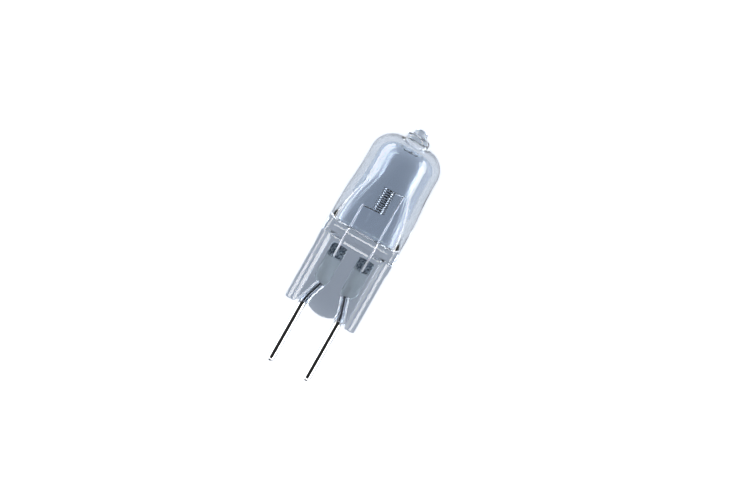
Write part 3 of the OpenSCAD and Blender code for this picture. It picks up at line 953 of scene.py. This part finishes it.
class BULB_OT_pins(bpy.types.Operator):
    """Build the two contact pins"""

    bl_idname = "bulb.pins"
    bl_label = "Pins"

    def execute(self, context):
        pins, seals, _, _, finish, _ = sizes()
        material = metal_material(
            "pin_metal", finish.pin_colour, gloss=0.1, stretch=(40, 3, 1), contrast=0.05, relief=0.25)
        tree, fade = material.node_tree, 0.8 * MM
        stain(tree, height_part(tree, 0, fade), finish.scale_colour)
        for name, side in (("left", -1), ("right", 1)):
            piece = mesh_from(f"pin_{name}_metal", [pin_skin(pins, seals, side)])
            smooth(piece, 50)
            dress(piece, material, "pin_metal", f"pin_{name}")
        return {"FINISHED"}


def floor_material(finish):
    """A pale matt floor. Part of its white is its own, more of it for the camera and less for metal
    and glass, and the rest is the light on it, so that it keeps the lamp's shadow."""
    material, tree, shader = new_material("pale_floor")
    shader.inputs["Roughness"].default_value = 1
    shader.inputs["Specular IOR Level"].default_value = 0
    shader.inputs["Base Color"].default_value = (*finish.floor_colour, 1)
    shader.inputs["Emission Color"].default_value = (*finish.floor_glow, 1)
    rays = tree.nodes.new("ShaderNodeLightPath").outputs
    seen = combined(tree, "ADD", rays["Is Glossy Ray"], rays["Is Transmission Ray"])
    strength = mix_values(tree, rays["Is Camera Ray"], seen, finish.floor_white)
    tree.links.new(strength, shader.inputs["Emission Strength"])
    return material


def facing(tree, direction, vector, start, end):
    """How far the world's direction faces a vector: 0 at the start's cosine and 1 at the end's."""
    size = tree.nodes.new("ShaderNodeMath")
    size.operation = "ABSOLUTE"
    tree.links.new(along_vector(tree, direction, vector), size.inputs[0])
    node = stretched(tree, size.outputs[0], start, end)
    node.interpolation_type = "SMOOTHSTEP"
    return node.outputs["Result"]


def mix_values(tree, part, low, high):
    """A value between two, by a part from 0 to 1."""
    node = tree.nodes.new("ShaderNodeMix")
    for socket, value in ((node.inputs[2], low), (node.inputs[3], high)):
        if isinstance(value, float):
            socket.default_value = value
        else:
            tree.links.new(value, socket)
    tree.links.new(part, node.inputs[0])
    return node.outputs[0]


def light_world(studio):
    """Grey walls all round, darker beyond the lamp's ends, and a dark ceiling above the table."""
    world = bpy.data.worlds.new("studio_walls")
    bpy.context.scene.world = world
    world.use_nodes = True
    tree = world.node_tree
    direction = tree.nodes.new("ShaderNodeTexCoord").outputs["Generated"]
    ends = facing(tree, direction, ALONG, start=0.55, end=0.9)
    walls = mix_values(tree, ends, studio.wall_level, studio.end_level)
    edge, soft = math.cos(studio.ceiling_angle), 0.03
    above = facing(tree, direction, -DEPTH, edge - soft, edge + soft)
    level = mix_values(tree, above, walls, studio.ceiling_level)
    tree.links.new(level, tree.nodes["Background"].inputs["Strength"])
    tree.nodes["Background"].inputs["Color"].default_value = (1, 1, 1, 1)


def aimed(place, target, upright):
    """A matrix that puts something at a place and points its -Z at a target, with +Y upright."""
    back = unit(place - target)
    right = unit(np.cross(upright, back))
    up = np.cross(back, right)
    matrix = np.eye(4)
    matrix[:3, :3] = np.array([right, up, back]).T
    matrix[:3, 3] = place
    return Matrix(matrix.tolist())


def hang_lamp(studio, name, out, away, width, extent, level):
    """A flat lamp that hangs a distance out from the frame's middle and faces it, as wide as given
    across the line to the tip and as long as the extent along it."""
    target = to_row(np.array([0.0, 0.0, studio.aim_along]))
    data = bpy.data.lights.new(name, "AREA")
    data.shape = "RECTANGLE"
    data.size = width
    data.size_y = extent
    data.energy = level * width * extent * math.pi
    lamp = bpy.data.objects.new(name, data)
    lamp.matrix_world = aimed(target + out * away, target, ALONG)
    bpy.context.scene.collection.objects.link(lamp)
    return lamp


def hang_strip(studio, side, rise, width, extent, part=1.0):
    """A strip lamp beside the table or beyond the pins. It shows in glass and metal and leaves the
    floor to the soft lamp."""
    out = side * math.cos(rise) - DEPTH * math.sin(rise)
    level = studio.strip_level * part
    lamp = hang_lamp(studio, "strip_lamp", out, studio.strip_away, width, extent, level)
    lamp.visible_diffuse = False


def hang_soft_lamp(studio):
    """A soft lamp above the table. It lights the floor, and glass and metal don't mirror it."""
    width = studio.soft_w
    lamp = hang_lamp(studio, "soft_lamp", -DEPTH, studio.soft_away, width, width, studio.soft_level)
    lamp.visible_glossy = False
    lamp.visible_transmission = False


def place_camera(studio):
    """The camera looks square at the broad face and is rolled so that the tip leans right."""
    target = to_row(np.array([studio.aim_across, 0.0, studio.aim_along]))
    upright = math.cos(studio.roll) * ALONG - math.sin(studio.roll) * ACROSS
    data = bpy.data.cameras.new("camera")
    data.sensor_width = 36
    data.lens = data.sensor_width * studio.camera_away / studio.frame_w
    data.clip_start = 0.01
    data.clip_end = 10
    camera = bpy.data.objects.new("camera", data)
    camera.matrix_world = aimed(target - DEPTH * studio.camera_away, target, upright)
    bpy.context.scene.collection.objects.link(camera)
    bpy.context.scene.camera = camera


def lay_floor(finish, studio):
    """A round floor under the lamp, as a fan of rings."""
    columns, spread = 96, np.array([0.0, 0.02, 0.1, 0.4, 1.0])
    turn = 2 * math.pi * np.arange(columns) / columns
    rings = studio.floor_r * spread[:, None]
    x, y = rings * np.cos(turn), rings * np.sin(turn)
    points = np.stack([x, y, np.full_like(x, CAD_BOX[0].z)], -1).reshape(-1, 3)
    mesh = bpy.data.meshes.new("floor")
    mesh.from_pydata(points.tolist(), [], grid_quads(len(spread), columns).tolist())
    merge_doubles(mesh)
    floor = bpy.data.objects.new("floor", mesh)
    bpy.context.scene.collection.objects.link(floor)
    mesh.materials.append(floor_material(finish))


class BULB_OT_stage(bpy.types.Operator):
    """Lay the pale floor, hang the lamps and place the camera"""

    bl_idname = "bulb.stage"
    bl_label = "Stage"

    def execute(self, context):
        _, _, _, _, finish, studio = sizes()
        scene = context.scene
        scene.view_settings.view_transform = "Standard"
        scene.cycles.caustics_refractive = False
        scene.cycles.max_bounces = 36
        scene.cycles.transmission_bounces = 32
        scene.cycles.glossy_bounces = 5
        place_camera(studio)
        lay_floor(finish, studio)
        light_world(studio)
        hang_soft_lamp(studio)
        far = studio.strip_len
        hang_strip(studio, -ACROSS, studio.left_rise, studio.left_w, far)
        hang_strip(studio, ACROSS, studio.right_rise, studio.right_w, far)
        hang_strip(studio, -ACROSS, studio.high_rise, studio.high_w, far, studio.high_share)
        hang_strip(studio, ACROSS, studio.low_rise, studio.low_w, far, studio.low_share)
        hang_strip(studio, -ALONG, studio.end_rise, studio.end_len, studio.end_w)
        return {"FINISHED"}


class BULB_PT_panel(bpy.types.Panel):
    """The bulb's settings and the steps that build it"""

    bl_idname = "BULB_PT_panel"
    bl_label = "Capsule bulb"
    bl_space_type = "VIEW_3D"
    bl_region_type = "UI"
    bl_category = "Capsule bulb"

    def draw(self, context):
        for group in sizes():
            box = self.layout.box()
            for name in group.bl_rna.properties.keys():
                if name not in ("rna_type", "name"):
                    box.prop(group, name)
        for step in STEPS:
            self.layout.operator(step.bl_idname)


GROUPS = {
    "bulb_pins": PinSizes,
    "bulb_seals": SealSizes,
    "bulb_coil": CoilSizes,
    "bulb_glass": GlassSizes,
    "bulb_finishes": Finishes,
    "bulb_studio": StudioSettings,
}
STEPS = (
    BULB_OT_stage, BULB_OT_pins, BULB_OT_foils, BULB_OT_leads, BULB_OT_filament, BULB_OT_glass_envelope)


def register():
    for group in (*GROUPS.values(), *STEPS, BULB_PT_panel):
        bpy.utils.register_class(group)
    for name, group in GROUPS.items():
        setattr(bpy.types.Scene, name, bpy.props.PointerProperty(type=group))


def unregister():
    for name in GROUPS:
        delattr(bpy.types.Scene, name)
    for group in (BULB_PT_panel, *STEPS[::-1], *GROUPS.values()):
        bpy.utils.unregister_class(group)


def main():
    """Builds the stage and every piece."""
    register()
    bpy.ops.bulb.stage()
    bpy.ops.bulb.pins()
    bpy.ops.bulb.foils()
    bpy.ops.bulb.leads()
    bpy.ops.bulb.filament()
    bpy.ops.bulb.glass_envelope()


if __name__ == "__main__":
    main()
